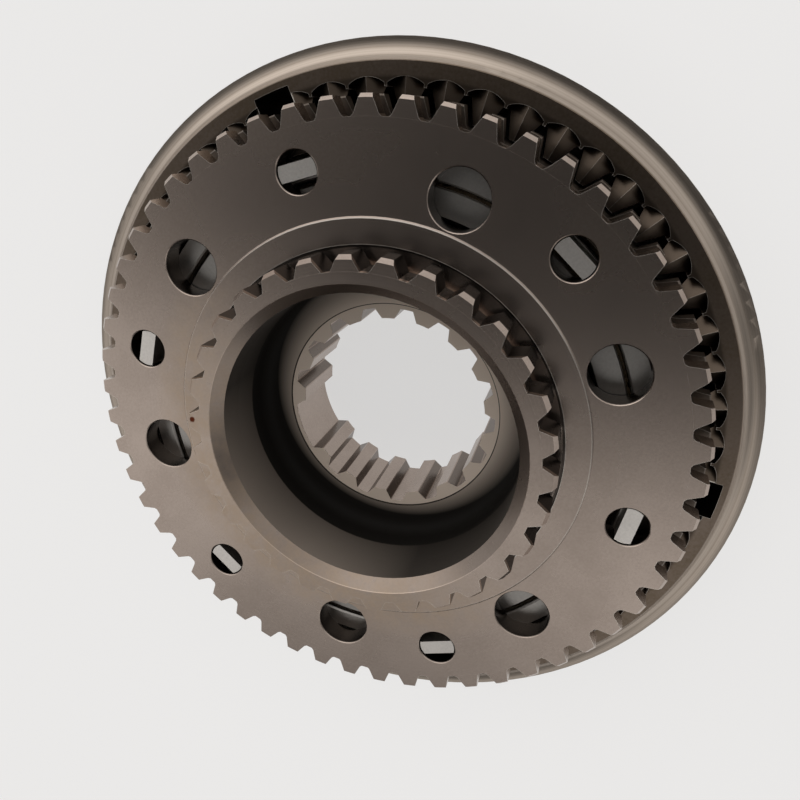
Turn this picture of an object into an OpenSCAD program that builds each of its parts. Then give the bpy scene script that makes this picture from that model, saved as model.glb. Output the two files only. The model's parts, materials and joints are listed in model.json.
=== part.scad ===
// Synchronizer gear: a toothed clutch body with a splined hub, the cone rings of its
// synchronizer behind it, and the sliding sleeve that slips forward over the clutch teeth.
// Lengths in millimetres, angles in degrees. Z is the turning axis, the front faces up,
// and Z = 0 is the floor that the rear end of the clutch body and of the sleeve rest on.

/* [Clutch teeth] */
// number of clutch teeth, the same on the disc, the blocker ring and the sleeve
tooth_n = 54; // [50:1:60]
// size step of the teeth: pitch diameter divided by the number of teeth
tooth_m = 4; // [3.8:0.05:4.4]
// height of a tooth above the pitch circle
tooth_add = 3; // [2:0.1:3.6]
// depth of a tooth below the pitch circle
tooth_ded = 3.5; // [3:0.1:4]
// thickness of a tooth on the pitch circle
tooth_w = 6.05; // [5.4:0.05:6.2]
// slope of a tooth flank against the middle of the tooth
flank_a = 21.5; // [16:0.5:23]
// length of the disc's teeth along the axis
tooth_len = 9; // [8.5:0.1:12]
// bevel in the corner between a tooth and the root circle
root_bevel = 0.7; // [0.3:0.1:0.8]
// bevel on the front tip of a disc tooth
tip_bevel = 1.2; // [0.4:0.1:1.8]
// slope of the pointed tooth ends against the face
point_a = 38; // [25:1:45]
// width of the flat left on the ridge of a pointed tooth end, at the tip
ridge_flat = 0.3; // [0.1:0.05:0.35]
// turn of the clutch teeth against the first tab hole
tooth_turn = -1.77; // [-3:0.01:3]
// how far the front ends of teeth and splines lie below the faces they stand round
tooth_step = 0.05; // [0.02:0.01:0.2]

/* [Disc] */
// height of the disc's front face above the floor
disc_z = 52; // [51:0.5:60]
// thickness of the disc between rim and hub
plate_t = 8; // [6:0.1:8.4]
// width of the thick rim under the teeth
rim_w = 5; // [3:0.1:7]
// width of the raised pad round the hub
pad_w = 8.3; // [4:0.1:8.6]
// clearance between the hub splines and the raised pad, over the tool run-out groove
pad_gap = 1; // [0.6:0.1:2]
// height of the raised pad above the disc
pad_h = 0.5; // [0.3:0.1:1.5]
// width of the sloped outer edge of the raised pad
pad_edge = 0.6; // [0.3:0.05:1]
// depth of the run-out groove below the disc's front face
groove_d = 1; // [0.5:0.1:2]

/* [Hub] */
// number of splines on the hub
hub_n = 30; // [24:1:32]
// height of the hub's front face above the disc
hub_rise = 14; // [10:0.5:20]
// tip radius of the hub splines
hub_tip_r = 65; // [63:0.1:65.5]
// root radius of the hub splines
hub_root_r = 60; // [58.5:0.1:61]
// width of the gap between two hub splines at the root
hub_gap = 3.2; // [1.5:0.1:4]
// width of a hub spline at its tip
hub_land = 4.04; // [2.6:0.02:6]
// radial size of the bevel on the front tips of the hub splines
hub_bevel = 1.3; // [0.5:0.1:2]
// axial size of the bevel on the front tips of the hub splines
hub_bevel_h = 1.8; // [0.5:0.1:3]
// height above the disc at which the hub splines end over the groove
hub_foot = 2.2; // [1:0.1:4]
// wall between the spline roots and the round recess inside the hub
hub_wall = 7.5; // [5:0.1:9]
// width of the hub's flat front face inside the spline roots
hub_face_w = 3.8; // [1:0.1:4.5]
// axial size of the bevel at the recess mouth
mouth_h = 4; // [1:0.1:6]
// height of the recess floor above the rear end
recess_z = 30; // [24:0.5:32]
// fillet between recess wall and floor
recess_fillet = 5; // [1:0.5:8]
// radius of the boss behind the disc
boss_r = 62; // [60:0.5:68]
// bevel at the rear end of the boss and of the bore
boss_bevel = 1.6; // [0.5:0.1:2.5]

/* [Splined bore] */
// number of spline places round the bore
bore_n = 17; // [15:1:18]
// root radius of the bore splines
bore_root_r = 39.4; // [38.5:0.1:40.5]
// tip radius of the bore splines
bore_tip_r = 35.5; // [35:0.1:36.5]
// width of a bore spline at its tip
bore_tip_w = 4.85; // [3.5:0.05:5.5]
// slope of a bore spline's flank against its middle
bore_flank_a = 35; // [20:0.5:36]
// angle of the place where one bore spline is left out
bore_skip_at = 152.6; // [0:0.1:360]
// width of the shallow round seat in front of the bore splines
seat_w = 1.6; // [0.5:0.1:2.5]
// depth of that seat below the recess floor
seat_d = 0.4; // [0.2:0.05:1]

/* [Holes and tabs] */
// number of tab holes through the disc
tab_n = 6; // [4:2:6]
// radius of a tab hole
hole_r = 7.05; // [6.5:0.05:7.4]
// bevel on the edge of a hole
hole_bevel = 0.4; // [0.2:0.05:0.8]
// how far the tab holes lie inside the middle of the tabs
hole_in = 0.4; // [0:0.1:0.8]
// radial thickness of a tab
tab_t = 5.5; // [4.5:0.1:6.2]
// clearance between a tab and its hole
tab_gap = 0.35; // [0.3:0.05:0.6]
// how far a tab's end lies below the disc's front face
tab_drop = 0.7; // [0.2:0.1:3]
// radius of an oil hole
vent_r = 9.8; // [8:0.1:10.2]
// how far the oil holes lie inside the circle of the tab holes
vent_in = 5.35; // [4:0.05:6]
// angle of an oil hole from every second tab hole
vent_a = 25; // [24:0.5:30]

/* [Cone rings] */
// wall of the outer ring between tooth root and cone, at the front
ring_wall = 8; // [7:0.1:9]
// slope of the friction cones against the axis
cone_a = 7; // [5:0.1:8]
// thickness of a friction lining
lining_t = 1.1; // [0.8:0.05:1.4]
// running clearance between a lining and the double-cone ring
cone_gap = 0.35; // [0.3:0.01:0.6]
// wall of the double-cone ring
cone_wall = 7.4; // [6.8:0.1:8]
// wall of the inner ring at the front
inner_wall = 9.2; // [8:0.1:9.6]
// axial clearance between faces of rings that turn against each other
face_gap = 0.5; // [0.4:0.05:0.6]
// height of the rear face of the cone rings above the floor
cones_z = 19.5; // [19:0.1:22]
// how far the linings stay back from the ends of the cones
lining_back = 1.6; // [1:0.1:3]
// number of oil grooves across a lining
oil_n = 24; // [12:1:30]
// width of an oil groove
oil_w = 2; // [1:0.1:3]
// depth of an oil groove
oil_d = 0.5; // [0.2:0.05:0.6]
// bevel on the edges of the rings
ring_bevel = 0.5; // [0.2:0.1:0.6]
// distance of the blocker teeth's front below the disc's front face
block_drop = 12; // [11.5:0.1:14]
// length of the blocker teeth
block_len = 6.5; // [5.5:0.1:6.8]
// thickness of the outer ring's rear flange
flange_t = 3.2; // [2.5:0.1:4]
// overlap of the rear flange under the inner ring
flange_lap = 3; // [2:0.1:5]
// number of lugs that key the inner ring, and of index lugs
lug_n = 3; // [2:1:4]
// width of a lug of the inner ring
lug_w = 18; // [12:0.5:24]
// radial thickness of a lug of the inner ring
lug_t = 5.4; // [3:0.1:5.6]
// clearance of a lug in its window
lug_gap = 0.4; // [0.3:0.05:0.6]
// width of an index lug
index_w = 15; // [10:0.5:20]
// radial thickness of an index lug
index_t = 9; // [6:0.1:10]
// length of an index lug
index_len = 4; // [2:0.1:6]

/* [Sliding sleeve] */
// length of the sleeve along the axis
sleeve_len = 32; // [28:0.5:32]
// clearance between sleeve tooth tips and the tooth roots inside
sleeve_tip_gap = 0.9; // [0.85:0.01:0.95]
// clearance between tooth tips and the tooth roots of the sleeve
sleeve_root_gap = 2.5; // [1:0.1:2.8]
// play between sleeve teeth and clutch teeth, on each flank
sleeve_play = 0.3; // [0.3:0.01:0.4]
// width of the front face between tooth root and its outer edge
face_w = 8.2; // [7:0.1:9]
// bevel on the outer edge of the front face
face_edge = 0.5; // [0.2:0.1:1]
// how far the flanges stand out beyond the front face
rim_out = 6.9; // [5:0.1:8]
// how far the flange edge lies behind the front face
cove_drop = 3.6; // [2:0.1:5]
// hollow of the cove between front face and flange
cove_sag = 1.2; // [0.6:0.1:1.6]
// thickness of a flange at its edge
rim_t = 4.4; // [3:0.1:6]
// bevel on the flange edge
rim_bevel = 0.6; // [0.2:0.1:1.2]
// depth of the fork groove
fork_d = 6.1; // [4:0.1:6.4]
// bevel in the corners of the fork groove
fork_bevel = 1; // [0.4:0.1:2]
// rise of the arch over each tooth end above the tooth root
arch_h = 3.1; // [2:0.1:4]
// radius of that arch
arch_r = 10; // [9.5:0.1:12]
// width of the cusp left between two arches
cusp_w = 0.9; // [0.6:0.1:1.6]
// how far the ridge of a sleeve tooth lies behind the face
ridge_back = 0.2; // [0.1:0.05:0.6]
// number of detent slots
slot_n = 3; // [1:1:3]
// width of a detent slot
slot_w = 13.5; // [12.8:0.1:14]
// wall left outside a detent slot
slot_wall = 2.5; // [2:0.1:4]
// tooth gap, counted from the first tooth, on which the first detent slot lies
slot_tooth = 10; // [0:1:17]

/* [Hidden] */
$fn = 180;
hole_fn = 48;
full = 360;
nil = 0.01;
over = 1;
sink = 0.2;
// clutch teeth
pitch_a = full / tooth_n;
pitch_r = tooth_n * tooth_m / 2;
tip_r = pitch_r + tooth_add;
root_r = pitch_r - tooth_ded;
point_half = tip_r * sin(pitch_a / 2) - ridge_flat / 2;
// heights
rim_z = disc_z - tooth_len;
plate_z = disc_z - plate_t;
hub_z = disc_z + hub_rise;
pad_z = disc_z + pad_h;
foot_z = disc_z + hub_foot;
// hub and pad radii
recess_r = hub_root_r - hub_wall;
mouth_r = hub_root_r - hub_face_w;
pad_in_r = hub_tip_r + pad_gap;
pad_r = pad_in_r + pad_w;
// cones, all measured at the rear face of the plate
taper = tan(cone_a);
outer_cone_r = root_r - ring_wall;
double_out_r = outer_cone_r - lining_t - cone_gap;
double_in_r = double_out_r - cone_wall;
inner_cone_r = double_in_r - lining_t - cone_gap;
inner_r = inner_cone_r - inner_wall;
tab_r = (double_out_r + double_in_r) / 2;
hole_c_r = tab_r - hole_in;
vent_c_r = hole_c_r - vent_in;
// ring heights
outer_ring_z = rim_z - face_gap;
inner_ring_z = plate_z - face_gap;
double_rear_z = cones_z + face_gap;
flange_z = cones_z - flange_t;
block_z = disc_z - block_drop;
block_rear_z = block_z - block_len;
lug_r = inner_r + lug_t;
flange_in_r = inner_r + flange_lap;
index_r = root_r - 3 * ring_bevel;
lining_top_z = outer_ring_z - lining_back;
lining_low_z = double_rear_z + lining_back;
// sleeve
sleeve_tip_r = root_r + sleeve_tip_gap;
sleeve_root_r = tip_r + sleeve_root_gap;
face_r = sleeve_root_r + face_w;
rim_r = face_r + rim_out;
fork_r = rim_r - fork_d;
slot_r = face_r - slot_wall;
arch_c_r = sleeve_root_r + arch_h - arch_r;
// the cove is a circle through the face's edge and the flange's edge
cove_x = rim_out;
cove_y = cove_drop - face_edge;
cove_chord = sqrt(cove_x * cove_x + cove_y * cove_y);
cove_r = (cove_chord * cove_chord / 4 + cove_sag * cove_sag) / (2 * cove_sag);
cove_off = cove_r - cove_sag;
cove_c_r = face_r + cove_x / 2 + cove_off * cove_y / cove_chord;
cove_c_z = sleeve_len - face_edge - cove_y / 2 + cove_off * cove_x / cove_chord;
// colours
steel_c = [0.36, 0.33, 0.30];
ring_c = [0.55, 0.54, 0.52];
lining_c = [0.30, 0.27, 0.22];
sleeve_c = [0.42, 0.39, 0.36];

// half width of a clutch tooth at radius r
function tooth_half(r) = tooth_w / 2 - (r - pitch_r) * tan(flank_a);

// radius at height z of a cone that has radius r at the rear face of the plate
function cone_at(r, z) = r - (plate_z - z) * taper;

// a point at distance r along angle a, w to the side
function lobe_point(a, r, w) = [r * cos(a) - w * sin(a), r * sin(a) + w * cos(a)];

// outline of n straight-sided lobes from radius lo to radius hi
function lobes(n, lo, hi, w_lo, w_hi) = [
    for (i = [0 : n - 1])
        for (p = [[lo, -w_lo], [hi, -w_hi], [hi, w_hi], [lo, w_lo]])
            lobe_point(i * full / n, p[0], p[1])
];

// outline of the clutch teeth, their root corners bevelled, sunk a little into the root circle
function footed_teeth(foot, knee, hi) = [
    for (i = [0 : tooth_n - 1])
        for (p = [
            [foot, -tooth_half(knee) - knee + foot],
            [knee, -tooth_half(knee)],
            [hi, -tooth_half(hi)],
            [hi, tooth_half(hi)],
            [knee, tooth_half(knee)],
            [foot, tooth_half(knee) + knee - foot]
        ])
            lobe_point(i * pitch_a, p[0], p[1])
];

// flat outline of the clutch teeth, widened by play on each flank
module tooth_outline(lo, hi, play) {
    polygon(lobes(tooth_n, lo, hi, tooth_half(lo) + play, tooth_half(hi) + play));
}

// cutters that leave each tooth a roof-shaped rear end with its ridge at height z
module point_cutters(z) {
    for (i = [0 : tooth_n - 1])
        rotate((i + 1 / 2) * pitch_a)
            translate([root_r - over, 0, z])
                rotate([90, 0, 90])
                    linear_extrude(tip_r - root_r + 3 * over)
                        polygon([
                            [-point_half, 0],
                            [-point_half, -over],
                            [point_half, -over],
                            [point_half, 0],
                            [0, point_half * tan(point_a)]
                        ]);
}

// ring of clutch teeth from height low to height top, rear ends pointed
module tooth_ring(low, top, bevel) {
    difference() {
        intersection() {
            translate([0, 0, low])
                linear_extrude(top - low)
                    polygon(footed_teeth(root_r - sink, root_r + root_bevel, tip_r + over));
            rotate_extrude()
                polygon([
                    [root_r - 2 * over, low],
                    [tip_r, low],
                    [tip_r, top - bevel],
                    [tip_r - bevel, top],
                    [root_r - 2 * over, top]
                ]);
        }
        point_cutters(low);
    }
}

// splines of the hub, bevelled at the front
module hub_splines() {
    lo = hub_root_r - over;
    hi = hub_tip_r + over;
    root_half = hub_root_r * sin(full / hub_n / 2) - hub_gap / 2;
    slope = (root_half - hub_land / 2) / (hub_tip_r - hub_root_r);
    w_lo = root_half + over * slope;
    w_hi = hub_land / 2 - over * slope;
    top = hub_z - tooth_step;
    intersection() {
        translate([0, 0, foot_z])
            linear_extrude(top - foot_z)
                polygon(lobes(hub_n, lo, hi, w_lo, w_hi));
        rotate_extrude()
            polygon([
                [lo - over, foot_z],
                [hub_tip_r, foot_z],
                [hub_tip_r, top - hub_bevel_h],
                [hub_tip_r - hub_bevel, top],
                [lo - over, top]
            ]);
    }
}

// turned shape of the clutch body: boss, plate, rim, pad, groove and hub
module turned_body() {
    rotate_extrude()
        polygon([
            [bore_tip_r, 0],
            [boss_r - boss_bevel, 0],
            [boss_r, boss_bevel],
            [boss_r, plate_z],
            [root_r - rim_w, plate_z],
            [root_r - rim_w, rim_z],
            [root_r, rim_z],
            [root_r, disc_z],
            [pad_r + pad_edge, disc_z],
            [pad_r, pad_z],
            [pad_in_r, pad_z],
            [pad_in_r, disc_z - groove_d],
            [hub_root_r - groove_d, disc_z - groove_d],
            [hub_root_r - groove_d, foot_z - groove_d],
            [hub_root_r, foot_z],
            [hub_root_r, hub_z],
            [mouth_r, hub_z],
            [recess_r, hub_z - mouth_h],
            [recess_r, recess_z],
            [bore_tip_r, recess_z]
        ]);
    // fillet between recess wall and recess floor
    rotate_extrude()
        difference() {
            translate([recess_r - recess_fillet, recess_z - nil])
                square([recess_fillet + nil, recess_fillet + nil]);
            translate([recess_r - recess_fillet, recess_z + recess_fillet])
                circle(recess_fillet);
        }
}

// what is cut from the bore: the spaces between its splines, the front seat and the rear bevel
module bore_cut() {
    difference() {
        translate([0, 0, -over])
            cylinder(r = bore_root_r, h = recess_z + 2 * over);
        for (i = [1 : bore_n - 1])
            rotate(bore_skip_at + i * full / bore_n)
                translate([0, 0, -2 * over])
                    linear_extrude(recess_z + 4 * over)
                        polygon([
                            [bore_tip_r - over, -bore_tip_w / 2 + over * tan(bore_flank_a)],
                            [bore_root_r + over, -bore_tip_w / 2 - bore_rise()],
                            [bore_root_r + over, bore_tip_w / 2 + bore_rise()],
                            [bore_tip_r - over, bore_tip_w / 2 - over * tan(bore_flank_a)]
                        ]);
    }
    translate([0, 0, recess_z - seat_d])
        cylinder(r = bore_root_r + seat_w, h = seat_d + over);
    translate([0, 0, -nil])
        cylinder(r1 = bore_root_r + boss_bevel, r2 = bore_root_r, h = boss_bevel);
}

// how much wider a bore spline is at its foot than at its tip, on each side
function bore_rise() = (bore_root_r + over - bore_tip_r) * tan(bore_flank_a);

// one hole through the plate with a bevelled front edge
module plate_hole(r) {
    translate([0, 0, rim_z - over])
        cylinder(r = r, h = tooth_len + 2 * over, $fn = hole_fn);
    translate([0, 0, disc_z - hole_bevel])
        cylinder(r1 = r, r2 = r + hole_bevel + nil, h = hole_bevel + nil, $fn = hole_fn);
}

module clutch_body() {
    color(steel_c)
        difference() {
            union() {
                turned_body();
                rotate(tooth_turn)
                    tooth_ring(rim_z, disc_z - tooth_step, tip_bevel);
                hub_splines();
            }
            bore_cut();
            for (i = [0 : tab_n - 1])
                rotate(i * full / tab_n)
                    translate([hole_c_r, 0, 0])
                        plate_hole(hole_r);
            for (i = [0 : tab_n / 2 - 1])
                for (side = [-1, 1])
                    rotate(2 * i * full / tab_n + side * vent_a)
                        translate([vent_c_r, 0, 0])
                            plate_hole(vent_r);
        }
}

// ring with friction cones inside and outside, its tabs reach up into the tab holes
module double_cone_ring() {
    color(ring_c) {
        rotate_extrude()
            polygon([
                [cone_at(double_in_r, double_rear_z), double_rear_z],
                [cone_at(double_out_r, double_rear_z), double_rear_z],
                [cone_at(double_out_r, plate_z - ring_bevel), plate_z - ring_bevel],
                [double_out_r - ring_bevel, plate_z],
                [double_in_r + ring_bevel, plate_z],
                [cone_at(double_in_r, plate_z - ring_bevel), plate_z - ring_bevel]
            ]);
        for (i = [0 : tab_n - 1])
            rotate(i * full / tab_n)
                intersection() {
                    translate([hole_c_r, 0, plate_z - over])
                        cylinder(r = hole_r - tab_gap, h = plate_t + over - tab_drop, $fn = hole_fn);
                    translate([tab_r - tab_t / 2, -hole_r, plate_z - 2 * over])
                        cube([tab_t, 2 * hole_r, plate_t + 4 * over]);
                }
    }
}

// outer ring with the blocker teeth, a friction cone inside and a rear flange
module outer_synchro_ring() {
    color(ring_c)
        difference() {
            union() {
                rotate_extrude()
                    polygon([
                        [cone_at(outer_cone_r, outer_ring_z), outer_ring_z],
                        [root_r - ring_bevel, outer_ring_z],
                        [root_r, outer_ring_z - ring_bevel],
                        [root_r, flange_z + ring_bevel],
                        [root_r - ring_bevel, flange_z],
                        [flange_in_r, flange_z],
                        [flange_in_r, cones_z],
                        [cone_at(outer_cone_r, cones_z), cones_z]
                    ]);
                rotate(tooth_turn)
                    tooth_ring(block_rear_z, block_z, ring_bevel);
                for (i = [0 : lug_n - 1])
                    rotate(slot_turn() + i * full / lug_n)
                        index_lug();
            }
            for (i = [0 : lug_n - 1])
                rotate(i * full / lug_n)
                    translate([flange_in_r - flange_lap - over, -lug_w / 2 - lug_gap, flange_z - over])
                        cube([lug_t + over + lug_gap, lug_w + 2 * lug_gap, flange_t + 2 * over]);
        }
}

// angle of the first detent slot and of the first index lug
function slot_turn() = tooth_turn + slot_tooth * pitch_a;

// index lug on the rear face of the outer ring
module index_lug() {
    intersection() {
        translate([0, 0, flange_z - index_len])
            difference() {
                cylinder(r = index_r, h = index_len + over);
                translate([0, 0, -over])
                    cylinder(r = index_r - index_t, h = index_len + 3 * over);
            }
        translate([0, -index_w / 2, flange_z - index_len - over])
            cube([root_r + over, index_w, index_len + 3 * over]);
    }
}

// inner ring with a friction cone outside and lugs that key it to the outer ring
module inner_synchro_ring() {
    color(ring_c) {
        rotate_extrude()
            polygon([
                [inner_r, cones_z],
                [cone_at(inner_cone_r, cones_z), cones_z],
                [cone_at(inner_cone_r, inner_ring_z - ring_bevel), inner_ring_z - ring_bevel],
                [cone_at(inner_cone_r, inner_ring_z) - ring_bevel, inner_ring_z],
                [inner_r + ring_bevel, inner_ring_z],
                [inner_r, inner_ring_z - ring_bevel]
            ]);
        for (i = [0 : lug_n - 1])
            rotate(i * full / lug_n)
                intersection() {
                    translate([0, 0, flange_z])
                        difference() {
                            cylinder(r = lug_r - lug_gap, h = flange_t + nil);
                            translate([0, 0, -over])
                                cylinder(r = inner_r, h = flange_t + 2 * over);
                        }
                    translate([0, -lug_w / 2, flange_z - over])
                        cube([lug_r + over, lug_w, flange_t + 2 * over]);
                }
    }
}

// friction lining on a cone: r is the cone radius of its inner face, groove_r of its grooved face
module lining(r, grooves_out) {
    difference() {
        rotate_extrude()
            polygon([
                [cone_at(r, lining_low_z), lining_low_z],
                [cone_at(r + lining_t, lining_low_z), lining_low_z],
                [cone_at(r + lining_t, lining_top_z), lining_top_z],
                [cone_at(r, lining_top_z), lining_top_z]
            ]);
        for (i = [0 : oil_n - 1])
            rotate(i * full / oil_n)
                translate([grooves_out ? r + lining_t - oil_d : r + oil_d - oil_w, -oil_w / 2, plate_z])
                    rotate([0, cone_a, 0])
                        translate([0, 0, -plate_z])
                            cube([oil_w, oil_w, plate_z + over]);
    }
}

// lining bonded into the cone of the outer ring, grooved on its inner face
module outer_friction_lining() {
    color(lining_c)
        lining(outer_cone_r - lining_t, false);
}

// lining bonded onto the cone of the inner ring, grooved on its outer face
module inner_friction_lining() {
    color(lining_c)
        lining(inner_cone_r, true);
}

// cutters that point the upper ends of the sleeve teeth under an arch
module sleeve_point_cutters() {
    span = sleeve_root_r * sin(pitch_a / 2) - cusp_w / 2;
    drop = span * tan(point_a);
    for (i = [0 : tooth_n - 1])
        rotate((i + 1 / 2) * pitch_a)
            intersection() {
                translate([arch_c_r, 0, 0])
                    cylinder(r = arch_r, h = sleeve_len + 2 * over, $fn = hole_fn);
                translate([sleeve_tip_r - over, 0, sleeve_len - ridge_back])
                    rotate([90, 0, 90])
                        linear_extrude(sleeve_root_r + 2 * arch_h)
                            polygon([
                                [0, 0],
                                [span, -drop],
                                [span, over],
                                [-span, over],
                                [-span, -drop]
                            ]);
            }
}

// turned outside of the sleeve: two faces, two coves, two flanges and the fork groove
module sleeve_turned() {
    top = sleeve_len;
    rotate_extrude()
        difference() {
            polygon([
                [sleeve_tip_r, 0],
                [face_r - face_edge, 0],
                [face_r, face_edge],
                [rim_r, cove_drop],
                [rim_r, cove_drop + rim_t - rim_bevel],
                [rim_r - rim_bevel, cove_drop + rim_t],
                [fork_r + fork_bevel, cove_drop + rim_t],
                [fork_r, cove_drop + rim_t + fork_bevel],
                [fork_r, top - cove_drop - rim_t - fork_bevel],
                [fork_r + fork_bevel, top - cove_drop - rim_t],
                [rim_r - rim_bevel, top - cove_drop - rim_t],
                [rim_r, top - cove_drop - rim_t + rim_bevel],
                [rim_r, top - cove_drop],
                [face_r, top - face_edge],
                [face_r - face_edge, top],
                [sleeve_tip_r, top]
            ]);
            translate([cove_c_r, cove_c_z])
                circle(cove_r);
            translate([cove_c_r, top - cove_c_z])
                circle(cove_r);
        }
}

// sleeve that slides over the clutch teeth, with pointed teeth at both ends
module sliding_sleeve() {
    color(sleeve_c)
        difference() {
            sleeve_turned();
            rotate(tooth_turn) {
                intersection() {
                    translate([0, 0, -over])
                        linear_extrude(sleeve_len + 2 * over)
                            tooth_outline(sleeve_tip_r - over, sleeve_root_r + over, sleeve_play);
                    translate([0, 0, -2 * over])
                        cylinder(r = sleeve_root_r, h = sleeve_len + 4 * over);
                }
                sleeve_point_cutters();
                translate([0, 0, sleeve_len])
                    mirror([0, 0, 1])
                        sleeve_point_cutters();
            }
            for (i = [0 : slot_n - 1])
                rotate(slot_turn() + i * full / slot_n)
                    intersection() {
                        translate([0, -slot_w / 2, -over])
                            cube([rim_r, slot_w, sleeve_len + 2 * over]);
                        translate([0, 0, -2 * over])
                            cylinder(r = slot_r, h = sleeve_len + 4 * over);
                    }
        }
}

clutch_body();
double_cone_ring();
outer_synchro_ring();
inner_synchro_ring();
outer_friction_lining();
inner_friction_lining();
sliding_sleeve();
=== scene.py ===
"""Looks of a synchronizer gear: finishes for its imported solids, a pale floor, soft light and a camera.

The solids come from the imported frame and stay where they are. Lengths are metres, Z is the turning
axis and the floor is Z = 0.
"""

import json

import bpy
from bpy.props import FloatProperty, FloatVectorProperty, PointerProperty
from bpy.types import Operator, Panel, PropertyGroup
from mathutils import Matrix, Vector


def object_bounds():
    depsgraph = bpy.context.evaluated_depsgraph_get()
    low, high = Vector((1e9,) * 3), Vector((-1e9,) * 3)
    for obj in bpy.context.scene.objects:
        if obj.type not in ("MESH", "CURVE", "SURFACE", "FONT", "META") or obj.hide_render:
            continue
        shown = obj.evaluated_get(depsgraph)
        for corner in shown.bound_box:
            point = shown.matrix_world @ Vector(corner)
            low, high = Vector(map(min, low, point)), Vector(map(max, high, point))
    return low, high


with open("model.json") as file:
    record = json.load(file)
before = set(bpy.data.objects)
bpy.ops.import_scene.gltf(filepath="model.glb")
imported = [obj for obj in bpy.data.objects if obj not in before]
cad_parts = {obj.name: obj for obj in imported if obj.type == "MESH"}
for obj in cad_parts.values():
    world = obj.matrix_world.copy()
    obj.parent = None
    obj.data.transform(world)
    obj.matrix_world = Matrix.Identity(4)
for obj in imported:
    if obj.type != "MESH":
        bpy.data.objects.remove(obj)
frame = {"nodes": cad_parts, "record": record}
CAD_BOX = [list(corner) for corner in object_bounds()]

bl_info = {
    "name": "Synchronizer Gear Looks",
    "version": (1, 0, 0),
    "blender": (4, 5, 0),
    "location": "View3D > Sidebar > Synchro",
    "description": "Finishes, stage and camera for a packed synchronizer gear",
    "category": "Object",
}

MM = 0.001

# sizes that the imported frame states
MOUNTS = {mount["name"]: mount["dims"] for mount in frame["record"]["mounts"]}
FRONT_Z = CAD_BOX[1][2]
RECESS_R = MOUNTS["hub_recess"]["r_mm"] * MM
BORE_TIP_R = MOUNTS["spline_bore"]["r_mm"] * MM
SEAT_Z = MOUNTS["spline_bore"]["length_mm"] * MM

# a Mix node that blends colours, and the socket that gives its colour
COLOURS = {"output": 2, "data_type": "RGBA"}

# ways the camera faces, as on the photograph
CAMERA_RIGHT = Vector((0.67745, -0.68375, -0.27132))
CAMERA_UP = Vector((0.60275, 0.72740, -0.32808))

# ways in which the room is dim overhead, bright behind the part, brightest low down, and dim in two places
OVERHEAD = (0.383, 0.321, 0.866)
BEHIND = (-0.35, -0.35, 0.87)
WINDOW = (0.30, 0.90, 0.30)
DIM_PLACES = (((-0.82, -0.48, 0.30), 0.78, 0.90), ((0.58, -0.75, 0.32), 0.88, 0.96))
DIM_LEVEL = 0.3
BACKDROP_LEVEL = 0.84
ROOM_COLOUR = (1.0, 0.985, 0.97, 1.0)


def linear(hex_colour):
    """Linear RGBA of an sRGB hex colour such as 8a7f76."""
    parts = [int(hex_colour[i : i + 2], 16) / 255 for i in (0, 2, 4)]
    return [c / 12.92 if c <= 0.04045 else ((c + 0.055) / 1.055) ** 2.4 for c in parts] + [1.0]


def colour_prop(name, description, hex_colour):
    """A colour that a user can change, given as sRGB hex."""
    return FloatVectorProperty(name=name, description=description, subtype="COLOR", size=4, min=0.0, max=1.0,
                               default=linear(hex_colour))


def size_prop(name, description, default):
    """A length in metres that a user can change."""
    return FloatProperty(name=name, description=description, default=default, unit="LENGTH", precision=5)


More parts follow.
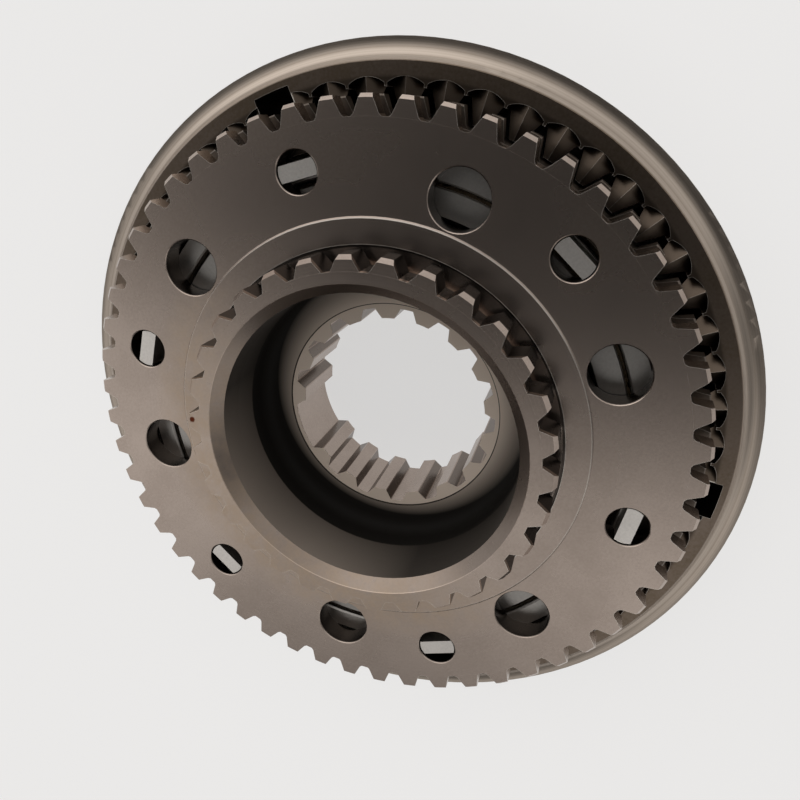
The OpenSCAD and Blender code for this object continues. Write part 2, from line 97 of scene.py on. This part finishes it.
class FinishSettings(PropertyGroup):
    """Colours of the metals, sizes of their patterns and where on the part they lie."""

    body_steel: colour_prop("Clutch body", "Oiled, phosphated steel of the clutch body", "afa197")
    body_stain: colour_prop("Clutch body stain", "Darker oil stain on the clutch body", "a4968c")
    sleeve_steel: colour_prop("Sleeve", "Oiled, phosphated steel of the sleeve", "7c6f64")
    sleeve_stain: colour_prop("Sleeve stain", "Darker oil stain on the sleeve", "6c5f51")
    # the sleeve's teeth are drawn in a darker colour than the rest of the sleeve
    tooth_steel: colour_prop("Sleeve teeth", "Darker, oily steel of the sleeve's teeth", "544a41")
    cove_steel: colour_prop("Sleeve outside", "Brighter turned steel outside the sleeve's face", "b2a69a")
    ring_steel: colour_prop("Cone rings", "Turned steel of the cone rings", "e4dfd9")
    ring_stain: colour_prop("Cone ring stain", "Oil film on the cone rings", "d2cdc7")
    blocker_steel: colour_prop("Blocker ring", "Phosphated steel of the blocker ring", "6b625a")
    blocker_stain: colour_prop("Blocker ring stain", "Dark stain on the blocker ring", "544b43")
    lining: colour_prop("Friction lining", "Sintered bronze lining", "4c3f2c")
    lining_pore: colour_prop("Lining pores", "Dark pores in the lining", "261f17")
    # bare steel of broken edges, drawn light also as their painted highlight
    edge_wear_and_highlight: colour_prop("Worn edge", "Bare steel on broken edges", "ddd6cd")
    rust: colour_prop("Rust", "Thin brown rust", "c3ad96")
    rust_spot: colour_prop("Rust spot", "Red-brown rust in the one deep spot", "5c2c1a")
    # painted shade: this dark colour is laid where the hub's inside, its hole walls, spline sides, mouth and
    # pad bevels and the ring face behind the disc are in shade
    film: colour_prop("Oil film", "Dull black film of old oil inside the hub", "201e1c")
    # painted light: the pale colour laid on the lit parts of the hub's recess
    recess_painted_light: colour_prop("Thin film", "The same film where it is thin", "ead9c9")

    lathe_pitch: size_prop("Lathe marks", "Spacing of the turning marks, drawn coarser than real", 0.9 * MM)
    stain_size: size_prop("Stain size", "Width of the oil stains", 30 * MM)
    grain_size: size_prop("Grain size", "Width of the phosphate grain, drawn coarser than real", 0.9 * MM)
    rust_size: size_prop("Rust size", "Width of the rust patches", 6 * MM)
    edge_width: size_prop("Edge width", "Width of the bare, broken edges", 0.4 * MM)
    relief: size_prop("Relief", "Height of the turning marks and the grain", 0.1 * MM)

    front_z: size_prop("Hub front", "Height of the hub's front face", FRONT_Z)
    disc_z: size_prop("Disc front", "Height of the disc's front face", 52 * MM)
    plate_z: size_prop("Disc rear", "Height of the disc's rear face, where the cone rings begin", 44 * MM)
    holes_r: size_prop("Hole circle", "Middle radius of the holes in the disc", 82 * MM)
    holes_half: size_prop("Hole reach", "How far the holes lie to each side of that radius", 17 * MM)
    pad_in_r: size_prop("Pad inner radius", "Inner radius of the raised pad round the hub", 66 * MM)
    pad_r: size_prop("Pad radius", "Outer radius of the raised pad round the hub", 74.3 * MM)
    spline_r: size_prop("Spline circle", "Middle radius of the hub's splines", 63.2 * MM)
    recess_r: size_prop("Recess radius", "Radius of the round recess inside the hub", RECESS_R)
    recess_z: size_prop("Recess floor", "Height of the recess floor", SEAT_Z + 0.4 * MM)
    recess_top: size_prop("Recess top", "Height at which the recess wall meets its mouth bevel", 62 * MM)
    # where the painted light lies in the hub's recess: high up on the wall, on one side, and on the floor round
    # a middle point
    painted_light_wall_z: size_prop("Clean wall", "Height above which the recess wall is cleaner", 41 * MM)
    painted_light_side_from: size_prop("Clean side start", "X at which the recess wall begins to be cleaner", -25 * MM)
    painted_light_side_to: size_prop("Clean side end", "X at which the recess wall is cleanest", -50 * MM)
    floor_x: size_prop("Clean floor X", "Middle of the cleaner recess floor along X", 5.0 * MM)
    floor_y: size_prop("Clean floor Y", "Middle of the cleaner recess floor along Y", 1.2 * MM)
    seat_r: size_prop("Bore seat", "Radius of the shallow seat round the bore", 41 * MM)
    bore_r: size_prop("Bore splines", "Middle radius of the bore's splines", BORE_TIP_R + 2 * MM)
    rust_from: size_prop("Rust start", "X at which the front begins to rust", 5 * MM)
    rust_to: size_prop("Rust end", "X at which the front is most rusty", -35 * MM)
    spot_x: size_prop("Rust spot X", "Place of the deep rust spot along X", -41.6 * MM)
    spot_y: size_prop("Rust spot Y", "Place of the deep rust spot along Y", 47.0 * MM)
    spot_r: size_prop("Rust spot radius", "Radius of the deep rust spot, before its edge is ragged", 2.1 * MM)
    teeth_r: size_prop("Sleeve teeth radius", "Radius up to which the sleeve's teeth reach", 117 * MM)
    cove_r: size_prop("Sleeve face radius", "Outer radius of the sleeve's front face", 121.4 * MM)


class StageSettings(PropertyGroup):
    """Floor, light and camera."""

    floor: colour_prop("Floor", "Plain pale floor", "ebeae9")
    backdrop: colour_prop("Backdrop", "What the camera and the metal see of the floor", "f8f7f6")
    bore: size_prop("Bore", "Radius of the bright floor seen through the bore", 42 * MM)
    rim: size_prop("Rim", "Radius from which the floor round the part is bright", 119 * MM)
    floor_size: size_prop("Floor size", "Side of the floor", 6.0)
    lens: FloatProperty(
        name="Lens", description="Focal length on a 36 mm sensor", default=31.558, unit="CAMERA")
    shift_x: FloatProperty(name="Shift X", description="Sideways shift of the picture", default=-0.0147)
    shift_y: FloatProperty(name="Shift Y", description="Upward shift of the picture", default=-0.0384)
    camera_at: FloatVectorProperty(
        name="Camera", description="Place of the camera", default=(0.12620, 0.02142, 0.26337), unit="LENGTH")
    clip_start: size_prop("Clip start", "Nearest distance that the camera sees", 10 * MM)


def add(tree, kind, inputs=(), output=0, **settings):
    """Adds a node with its settings and gives back one of its outputs. Inputs are a list in the node's
    own order or a dict by name or number, and each is a value or the socket that feeds it."""
    made = tree.nodes.new("ShaderNode" + kind)
    for key, value in settings.items():
        setattr(made, key, value)
    for key, value in inputs.items() if isinstance(inputs, dict) else enumerate(inputs):
        if isinstance(value, bpy.types.NodeSocket):
            tree.links.new(value, made.inputs[key])
        else:
            made.inputs[key].default_value = value
    return made.outputs[output] if made.outputs else None


def empty_material(name):
    """A material with no nodes yet."""
    mat = bpy.data.materials.new(name)
    mat.use_nodes = True
    mat.node_tree.nodes.clear()
    return mat


def overlap(tree, *masks):
    """Share where all masks lie over each other: their product."""
    share = masks[0]
    for mask in masks[1:]:
        share = add(tree, "Math", [share, mask], operation="MULTIPLY")
    return share


def places(tree):
    """Where a point of the part lies: its place, the same without its height, its distance from the
    axis, its height and its X."""
    place = add(tree, "TexCoord", output="Object")
    across = add(tree, "VectorMath", [place, (1, 1, 0)], operation="MULTIPLY")
    return {
        "place": place,
        "across": across,
        "radius": add(tree, "VectorMath", [across], "Value", operation="LENGTH"),
        "height": add(tree, "SeparateXYZ", [place], "Z"),
        "sideways": add(tree, "SeparateXYZ", [place], "X"),
    }


def zone(tree, at, radii, heights):
    """One inside a ring round the axis, given by its radii and heights, and nought outside it."""
    masks = []
    for value, (low, high) in ((at["radius"], radii), (at["height"], heights)):
        masks.append(add(tree, "Math", [value, (low + high) / 2, (high - low) / 2], operation="COMPARE"))
    return overlap(tree, *masks)


def sleeve_tints(tree, at, steel, rings, looks):
    """Sleeve: its teeth are darker, and its outside is brighter, with turning marks."""
    teeth = add(tree, "MapRange", [at["radius"], looks.teeth_r, looks.teeth_r - 1 * MM])
    steel = add(tree, "Mix", {0: teeth, 6: steel, 7: looks.tooth_steel[:]}, **COLOURS)
    marks = add(tree, "MapRange", [rings, 0.4, 0.65, 0.0, 0.4])
    turned = add(tree, "Mix", {0: marks, 6: looks.cove_steel[:], 7: steel}, **COLOURS)
    outside = add(tree, "MapRange", [at["radius"], looks.cove_r, looks.cove_r + 0.3 * MM])
    return add(tree, "Mix", {0: outside, 6: steel, 7: turned}, **COLOURS)


def ring_face_painted_shade(tree, at, steel, looks):
    """Cone rings: painted shade on the face behind the disc, where the disc shades it, while the tabs that
    stand out of it keep the plain steel.
    """
    low, high = looks.plate_z - 1.5 * MM, looks.plate_z + 1 * MM
    face = add(tree, "Math", [at["height"], (low + high) / 2, (high - low) / 2], operation="COMPARE")
    share = add(tree, "Math", [face, 0.5], operation="MULTIPLY")
    return add(tree, "Mix", {0: share, 6: steel, 7: looks.film[:]}, **COLOURS)


def front_rust(tree, at, patch, looks):
    """Share of thin rust on the front: on one side only, on the hub and, fading, on the disc round it."""
    return overlap(
        tree,
        add(tree, "MapRange", [at["radius"], looks.pad_r + 13 * MM, looks.pad_r + 1 * MM]),
        add(tree, "MapRange", [at["sideways"], looks.rust_from, looks.rust_to]),
        add(tree, "MapRange", [at["height"], looks.disc_z - 0.3 * MM, looks.disc_z - 0.1 * MM]),
        add(tree, "MapRange", [patch, 0.30, 0.78, 0.0, 0.9]),
    )


def deep_rust(tree, at, steel, patch, looks):
    """The one deep, red-brown spot on the hub's front, a little ragged."""
    middle = (looks.spot_x, looks.spot_y, looks.front_z)
    away = add(tree, "VectorMath", [at["place"], middle], "Value", operation="DISTANCE")
    ragged = add(tree, "Math", [patch, 1.6 * MM, away], operation="MULTIPLY_ADD")
    share = add(tree, "MapRange", [ragged, looks.spot_r, looks.spot_r - 0.5 * MM])
    return add(tree, "Mix", {0: share, 6: steel, 7: looks.rust_spot[:]}, **COLOURS)


def pad_edge_highlights(tree, at, wear_and_highlight, looks):
    """Wear and painted highlight, with painted highlight lines on the two edges of the raised pad added to it.
    """
    heights = (looks.disc_z + 0.3 * MM, looks.disc_z + 0.6 * MM)
    for edge in (looks.pad_in_r, looks.pad_r):
        line = zone(tree, at, (edge - 0.15 * MM, edge + 0.2 * MM), heights)
        share = add(tree, "Math", [line, 0.5], operation="MULTIPLY")
        wear_and_highlight = add(tree, "Math", [wear_and_highlight, share], operation="MAXIMUM")
    return wear_and_highlight


def recess_painted_shade(tree, at, looks):
    """Mask of the hub's inside and the colour painted there: painted shade, a dark coat over the recess,
    with painted light high up on the wall, most of all on one side, black below that and in the corner,
    painted light again on the floor round the bore, and a painted shade line in the step of the seat."""
    radius, height = at["radius"], at["height"]
    inside = overlap(
        tree,
        add(tree, "Math", [radius, looks.recess_r + 0.3 * MM], operation="LESS_THAN"),
        add(tree, "MapRange", [height, looks.recess_z - 0.8 * MM, looks.recess_z - 0.6 * MM]),
        add(tree, "Math", [height, looks.recess_top], operation="LESS_THAN"),
    )
    wall = overlap(
        tree,
        add(tree, "MapRange", [height, looks.painted_light_wall_z - 0.3 * MM, looks.painted_light_wall_z + 0.3 * MM]),
        add(tree, "MapRange", [height, looks.painted_light_wall_z, looks.recess_top, 0.16, 0.30]),
        add(tree, "MapRange", [at["sideways"], looks.painted_light_side_from, looks.painted_light_side_to, 0.15, 1.0]),
    )
    middle = (looks.floor_x, looks.floor_y, 0)
    aside = add(tree, "VectorMath", [at["across"], middle], "Value", operation="DISTANCE")
    around = add(tree, "MapRange", [aside, looks.recess_r - 3 * MM, looks.recess_r - 16 * MM, 0.0, 0.95])
    seat = add(tree, "MapRange", [radius, looks.seat_r + 0.1 * MM, looks.seat_r - 0.1 * MM, 0.0, 0.95])
    step = add(tree, "Math", [radius, looks.seat_r + 0.05 * MM, 0.2 * MM], operation="COMPARE")
    ground = overlap(
        tree,
        add(tree, "Math", [around, seat], operation="MAXIMUM"),
        add(tree, "Math", [step, -0.9, 1.0], operation="MULTIPLY_ADD"),
        add(tree, "MapRange", [height, looks.recess_z + 2 * MM, looks.recess_z + 1 * MM]),
    )
    # share of painted light in the recess: on the wall, on the floor and at the seat
    thin = add(tree, "Math", [wall, ground], operation="MAXIMUM")
    return inside, add(tree, "Mix", {0: thin, 6: looks.film[:], 7: looks.recess_painted_light[:]}, **COLOURS)


def painted_shade_sides(tree, at, steel, looks):
    """Clutch body: painted shade on its hole walls and spline sides, and a little painted shade on the
    bevels of its mouth and its pad."""
    hole_walls = (0.8, (looks.holes_r - looks.holes_half, looks.holes_r + looks.holes_half),
                  (0, looks.disc_z - 0.25 * MM))
    bore_splines = (0.55, (looks.bore_r - 1.6 * MM, looks.bore_r + 1.6 * MM), (0, looks.recess_z - 0.6 * MM))
    hub_splines = (0.85, (looks.spline_r - 3.3 * MM, looks.spline_r + 2.5 * MM),
                   (looks.disc_z - 0.8 * MM, looks.front_z - 1.9 * MM))
    mouth = (0.4, (0, looks.recess_r + 3.9 * MM), (looks.recess_top, looks.front_z - 0.2 * MM))
    pad_bevel = (0.25, (looks.pad_r - 0.5 * MM, looks.pad_r + 0.7 * MM),
                 (looks.disc_z + 0.05 * MM, looks.disc_z + 0.47 * MM))
    for share, radii, heights in (hole_walls, bore_splines, hub_splines, mouth, pad_bevel):
        # painted shade: each zone takes that share of the dark colour
        oily = add(tree, "Math", [zone(tree, at, radii, heights), share], operation="MULTIPLY")
        steel = add(tree, "Mix", {0: oily, 6: steel, 7: looks.film[:]}, **COLOURS)
    return steel


def turned_steel(name, base, stain, rust_share, roughness, edge_share, looks,
                 front=False, sleeve=False, ring=False):
    """Oiled, phosphated and turned steel: a satin warm grey sheen with faint rings from the lathe, soft
    oil stains, a fine phosphate grain, thin rust where the oil has gone and bare worn edges, drawn
    bright as a painted highlight. With front, sleeve or ring it has what is seen only on that piece,
    on the front also the painted shade inside the hub."""
    mat = empty_material(name)
    tree = mat.node_tree
    at = places(tree)
    rings = add(tree, "TexNoise", {"W": at["radius"], "Scale": 1 / looks.lathe_pitch, "Detail": 2.0}, "Fac",
                noise_dimensions="1D")
    cloud, grain, patch = (
        add(tree, "TexNoise", {"Vector": at["place"], "Scale": 1 / size, "Detail": detail, "Roughness": ragged},
            "Fac")
        for size, detail, ragged in ((looks.stain_size, 4.0, 0.55), (looks.grain_size, 2.0, 0.5),
                                     (looks.rust_size, 6.0, 0.7)))
    # stains: soft clouds with a little grain in them
    clouded = add(tree, "MapRange", [cloud, 0.35, 0.7])
    grainy = add(tree, "Math", [grain, 1.6, clouded], operation="MULTIPLY_ADD")
    stained = add(tree, "Math", [grainy, 0.8], operation="SUBTRACT")
    steel = add(tree, "Mix", {0: stained, 6: base[:], 7: stain[:]}, **COLOURS)
    if sleeve:
        steel = sleeve_tints(tree, at, steel, rings, looks)
    if ring:
        # painted shade on the ring face behind the disc
        steel = ring_face_painted_shade(tree, at, steel, looks)
    # rust: thin ragged patches
    rusty = add(tree, "MapRange", [patch, 0.78 - 0.3 * rust_share, 0.90 - 0.2 * rust_share, 0.0, 0.6])
    if front:
        rusty = add(tree, "Math", [rusty, front_rust(tree, at, patch, looks)], operation="MAXIMUM")
    steel = add(tree, "Mix", {0: rusty, 6: steel, 7: looks.rust[:]}, **COLOURS)
    if front:
        steel = deep_rust(tree, at, steel, patch, looks)
    # edges: occlusion on the inside finds the convex corners; these get bare worn steel and a painted
    # highlight, uneven along them
    corner = add(tree, "AmbientOcclusion", {"Distance": looks.edge_width}, "AO", samples=8, inside=True,
                 only_local=True)
    wear_and_highlight = overlap(tree, add(tree, "MapRange", [corner, 0.74, 0.52, 0.0, edge_share]),
                   add(tree, "MapRange", [patch, 0.35, 0.6, 0.5, 1.0]))
    if front:
        # painted highlight lines on the pad's two edges
        wear_and_highlight = pad_edge_highlights(tree, at, wear_and_highlight, looks)
    steel = add(tree, "Mix", {0: wear_and_highlight, 6: steel, 7: looks.edge_wear_and_highlight[:]}, **COLOURS)
    # painted highlight: less metal on the worn edges, so that their light colour shows bright from every side,
    # as a round broken edge would
    metal = add(tree, "Math", [wear_and_highlight, -0.6, 1.0], operation="MULTIPLY_ADD")
    shine = 0.5
    # gloss: rust is duller than the oiled steel, and the worn, highlit edges are glossier
    dull = add(tree, "MapRange", [cloud, 0.3, 0.7, roughness - 0.015, roughness + 0.015])
    dull = add(tree, "Math", [rusty, 0.2, dull], operation="MULTIPLY_ADD")
    dull = add(tree, "Math", [wear_and_highlight, -0.1, dull], operation="MULTIPLY_ADD")
    if front:
        # painted shade inside the hub: a dark coat with no metal and little shine, laid where the hub is in
        # shade
        inside, film = recess_painted_shade(tree, at, looks)
        steel = add(tree, "Mix", {0: inside, 6: steel, 7: film}, **COLOURS)
        steel = painted_shade_sides(tree, at, steel, looks)
        dull = add(tree, "Math", [inside, 0.25, dull], operation="MULTIPLY_ADD")
        metal = overlap(tree, metal, add(tree, "Math", [1.0, inside], operation="SUBTRACT"))
        shine = add(tree, "Math", [inside, -0.45, shine], operation="MULTIPLY_ADD")
    uneven = add(tree, "Math", [grain, 0.5, rings], operation="MULTIPLY_ADD")
    bump = add(tree, "Bump", {"Height": uneven, "Strength": 0.08, "Distance": looks.relief})
    shader = add(tree, "BsdfPrincipled", {"Base Color": steel, "Metallic": metal, "Roughness": dull,
                                          "Specular IOR Level": shine, "Normal": bump})
    add(tree, "OutputMaterial", {"Surface": shader})
    return mat


def sintered_lining(name, looks):
    """Sintered bronze friction lining: matt brown and porous, with hardly any shine."""
    mat = empty_material(name)
    tree = mat.node_tree
    place = add(tree, "TexCoord", output="Object")
    pores = add(tree, "TexVoronoi", {"Vector": place, "Scale": 1 / looks.grain_size}, "Distance")
    solid = add(tree, "MapRange", [pores, 0.1, 0.6])
    bronze = add(tree, "Mix", {0: solid, 6: looks.lining_pore[:], 7: looks.lining[:]}, **COLOURS)
    bump = add(tree, "Bump", {"Height": pores, "Strength": 0.3, "Distance": looks.relief})
    shader = add(tree, "BsdfPrincipled", {"Base Color": bronze, "Metallic": 0.6, "Roughness": 0.6,
                                          "Normal": bump})
    add(tree, "OutputMaterial", {"Surface": shader})
    return mat


def matt_floor(stage):
    """Matt pale floor, close to white where the camera or the metal sees it, with the shadow kept."""
    mat = empty_material("matt_pale_floor")
    tree = mat.node_tree
    matt = add(tree, "BsdfDiffuse", {"Color": stage.floor[:]})
    glow = add(tree, "Emission", {"Color": stage.backdrop[:], "Strength": 1.0})
    seen = add(tree, "LightPath", output="Is Camera Ray")
    for ray in ("Is Glossy Ray", "Is Transmission Ray"):
        seen = add(tree, "Math", [seen, add(tree, "LightPath", output=ray)], operation="ADD")
    most = add(tree, "Math", [seen, 0.75], operation="MINIMUM")
    # under the rings the floor is plain, so that their gaps stay dark; in the bore it is bright again
    place = add(tree, "TexCoord", output="Object")
    away = add(tree, "VectorMath", [place], "Value", operation="LENGTH")
    in_bore = add(tree, "MapRange", [away, stage.bore, stage.bore + 3 * MM, 0.85, 0.0])
    outside = add(tree, "MapRange", [away, stage.rim, stage.rim + 8 * MM])
    clear = add(tree, "Math", [in_bore, outside], operation="ADD")
    both = add(tree, "MixShader", [overlap(tree, most, clear), matt, glow])
    add(tree, "OutputMaterial", {"Surface": both})
    return mat


def soft_room():
    """Room round the part: bright near the horizon, dim overhead, and even where the camera sees it."""
    world = bpy.data.worlds.new("soft_room")
    world.use_nodes = True
    tree = world.node_tree
    tree.nodes.clear()
    way = add(tree, "TexCoord", output="Generated")
    high = add(tree, "SeparateXYZ", [way], "Z")
    # the dim part of the room lies round one way, high up and to one side
    near = add(tree, "VectorMath", [way, OVERHEAD], "Value", operation="DOT_PRODUCT")
    away = add(tree, "MapRange", [near, 0.455, 0.62, 1.0, 0.02])
    low = add(tree, "MapRange", [high, 0.42, 0.60, 1.0, 0.0])
    level = add(tree, "Math", [away, low], operation="MAXIMUM")
    # behind the part the bright backdrop reaches higher and fades slowly
    behind = add(tree, "VectorMath", [way, BEHIND], "Value", operation="DOT_PRODUCT")
    fading = add(tree, "MapRange", [behind, 0.35, 0.80, 0.95, 0.0])
    level = add(tree, "Math", [level, fading], operation="MAXIMUM")
    # low down, the room is brightest on one side and less bright elsewhere
    window = add(tree, "VectorMath", [way, WINDOW], "Value", operation="DOT_PRODUCT")
    bright = add(tree, "MapRange", [window, 0.68, 0.92, 0.75, 1.5])
    upper = add(tree, "MapRange", [high, 0.45, 0.62])
    level = overlap(tree, level, add(tree, "Math", [bright, upper], operation="MAXIMUM"))
    # the two dim places
    for axis, start, end in DIM_PLACES:
        dim = add(tree, "VectorMath", [way, axis], "Value", operation="DOT_PRODUCT")
        level = overlap(tree, level, add(tree, "MapRange", [dim, start, end, 1.0, DIM_LEVEL]))
    # the camera sees only an even backdrop, as pale as the floor
    seen = add(tree, "LightPath", output="Is Camera Ray")
    level = add(tree, "Mix", {0: seen, 2: level, 3: BACKDROP_LEVEL})
    sky = add(tree, "Background", {"Color": ROOM_COLOUR, "Strength": level})
    add(tree, "OutputWorld", {"Surface": sky})
    return world


def photo_camera(stage):
    """Camera at the photograph's place against the front face."""
    data = bpy.data.cameras.new("camera")
    data.lens = stage.lens
    data.shift_x = stage.shift_x
    data.shift_y = stage.shift_y
    data.clip_start = stage.clip_start
    camera = bpy.data.objects.new("camera", data)
    back = CAMERA_RIGHT.cross(CAMERA_UP)
    turn = Matrix((CAMERA_RIGHT, CAMERA_UP, back)).transposed().to_4x4()
    camera.matrix_world = Matrix.Translation(Vector(stage.camera_at)) @ turn
    return camera


def dress(node, material):
    """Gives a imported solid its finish."""
    slots = frame["nodes"][node].data.materials
    slots.clear()
    slots.append(material)


class DressClutchBody(Operator):
    """Finish of the clutch body: oiled steel, lightly rusted, bright worn edges with a painted highlight, and
    painted shade inside the hub, on its hole walls and its splines
    """

    bl_idname = "synchro.dress_clutch_body"
    bl_label = "Clutch Body"

    def execute(self, context):
        looks = context.scene.synchro_finish
        dress("clutch_body", turned_steel("oiled_phosphated_steel", looks.body_steel, looks.body_stain,
                                          0.25, 0.27, 0.9, looks, front=True))
        return {"FINISHED"}


class DressConeRings(Operator):
    """Finish of the double-cone ring and the inner ring: turned grey steel under oil, with painted shade on the
    face behind the disc
    """

    bl_idname = "synchro.dress_cone_rings"
    bl_label = "Cone Rings"

    def execute(self, context):
        looks = context.scene.synchro_finish
        steel = turned_steel("turned_ring_steel", looks.ring_steel, looks.ring_stain, 0.1, 0.36, 0.6, looks,
                             ring=True)
        dress("double_cone_ring", steel)
        dress("inner_synchro_ring", steel)
        return {"FINISHED"}


class DressBlockerRing(Operator):
    """Finish of the outer ring with the blocker teeth: dark phosphated steel"""

    bl_idname = "synchro.dress_blocker_ring"
    bl_label = "Blocker Ring"

    def execute(self, context):
        looks = context.scene.synchro_finish
        dress("outer_synchro_ring", turned_steel("phosphated_blocker_steel", looks.blocker_steel,
                                                 looks.blocker_stain, 0.2, 0.42, 0.6, looks))
        return {"FINISHED"}


class DressLinings(Operator):
    """Finish of the two friction linings: sintered bronze"""

    bl_idname = "synchro.dress_linings"
    bl_label = "Friction Linings"

    def execute(self, context):
        bronze = sintered_lining("sintered_bronze_lining", context.scene.synchro_finish)
        dress("outer_friction_lining", bronze)
        dress("inner_friction_lining", bronze)
        return {"FINISHED"}


class DressSleeve(Operator):
    """Finish of the sliding sleeve: oiled steel with turning marks"""

    bl_idname = "synchro.dress_sleeve"
    bl_label = "Sliding Sleeve"

    def execute(self, context):
        looks = context.scene.synchro_finish
        dress("sliding_sleeve", turned_steel("oiled_sleeve_steel", looks.sleeve_steel, looks.sleeve_stain,
                                             0.2, 0.32, 0.8, looks, sleeve=True))
        return {"FINISHED"}


class BuildStage(Operator):
    """Pale floor, soft light from low on all sides and the camera"""

    bl_idname = "synchro.build_stage"
    bl_label = "Stage"

    def execute(self, context):
        stage = context.scene.synchro_stage
        scene = context.scene
        scene.view_settings.view_transform = "Standard"
        half = stage.floor_size / 2
        mesh = bpy.data.meshes.new("floor")
        mesh.from_pydata([(-half, -half, 0), (half, -half, 0), (half, half, 0), (-half, half, 0)], [],
                         [(0, 1, 2, 3)])
        mesh.materials.append(matt_floor(stage))
        floor = bpy.data.objects.new("floor", mesh)
        scene.collection.objects.link(floor)
        scene.world = soft_room()
        camera = photo_camera(stage)
        scene.collection.objects.link(camera)
        scene.camera = camera
        return {"FINISHED"}


OPERATORS = (DressClutchBody, DressConeRings, DressBlockerRing, DressLinings, DressSleeve, BuildStage)


class SynchroPanel(Panel):
    """Lists the finishes and the stage"""

    bl_label = "Synchronizer Gear"
    bl_idname = "VIEW3D_PT_synchro"
    bl_space_type = "VIEW_3D"
    bl_region_type = "UI"
    bl_category = "Synchro"

    def draw(self, context):
        for operator in OPERATORS:
            self.layout.operator(operator.bl_idname)


CLASSES = (FinishSettings, StageSettings, *OPERATORS, SynchroPanel)


def register():
    """Registers the classes and the settings on the scene."""
    for made in CLASSES:
        bpy.utils.register_class(made)
    bpy.types.Scene.synchro_finish = PointerProperty(type=FinishSettings)
    bpy.types.Scene.synchro_stage = PointerProperty(type=StageSettings)


def unregister():
    """Removes what register made."""
    del bpy.types.Scene.synchro_stage
    del bpy.types.Scene.synchro_finish
    for made in reversed(CLASSES):
        bpy.utils.unregister_class(made)


def main():
    """Dresses every piece and builds the stage."""
    register()
    bpy.ops.synchro.dress_clutch_body()
    bpy.ops.synchro.dress_cone_rings()
    bpy.ops.synchro.dress_blocker_ring()
    bpy.ops.synchro.dress_linings()
    bpy.ops.synchro.dress_sleeve()
    bpy.ops.synchro.build_stage()


if __name__ == "__main__":
    main()
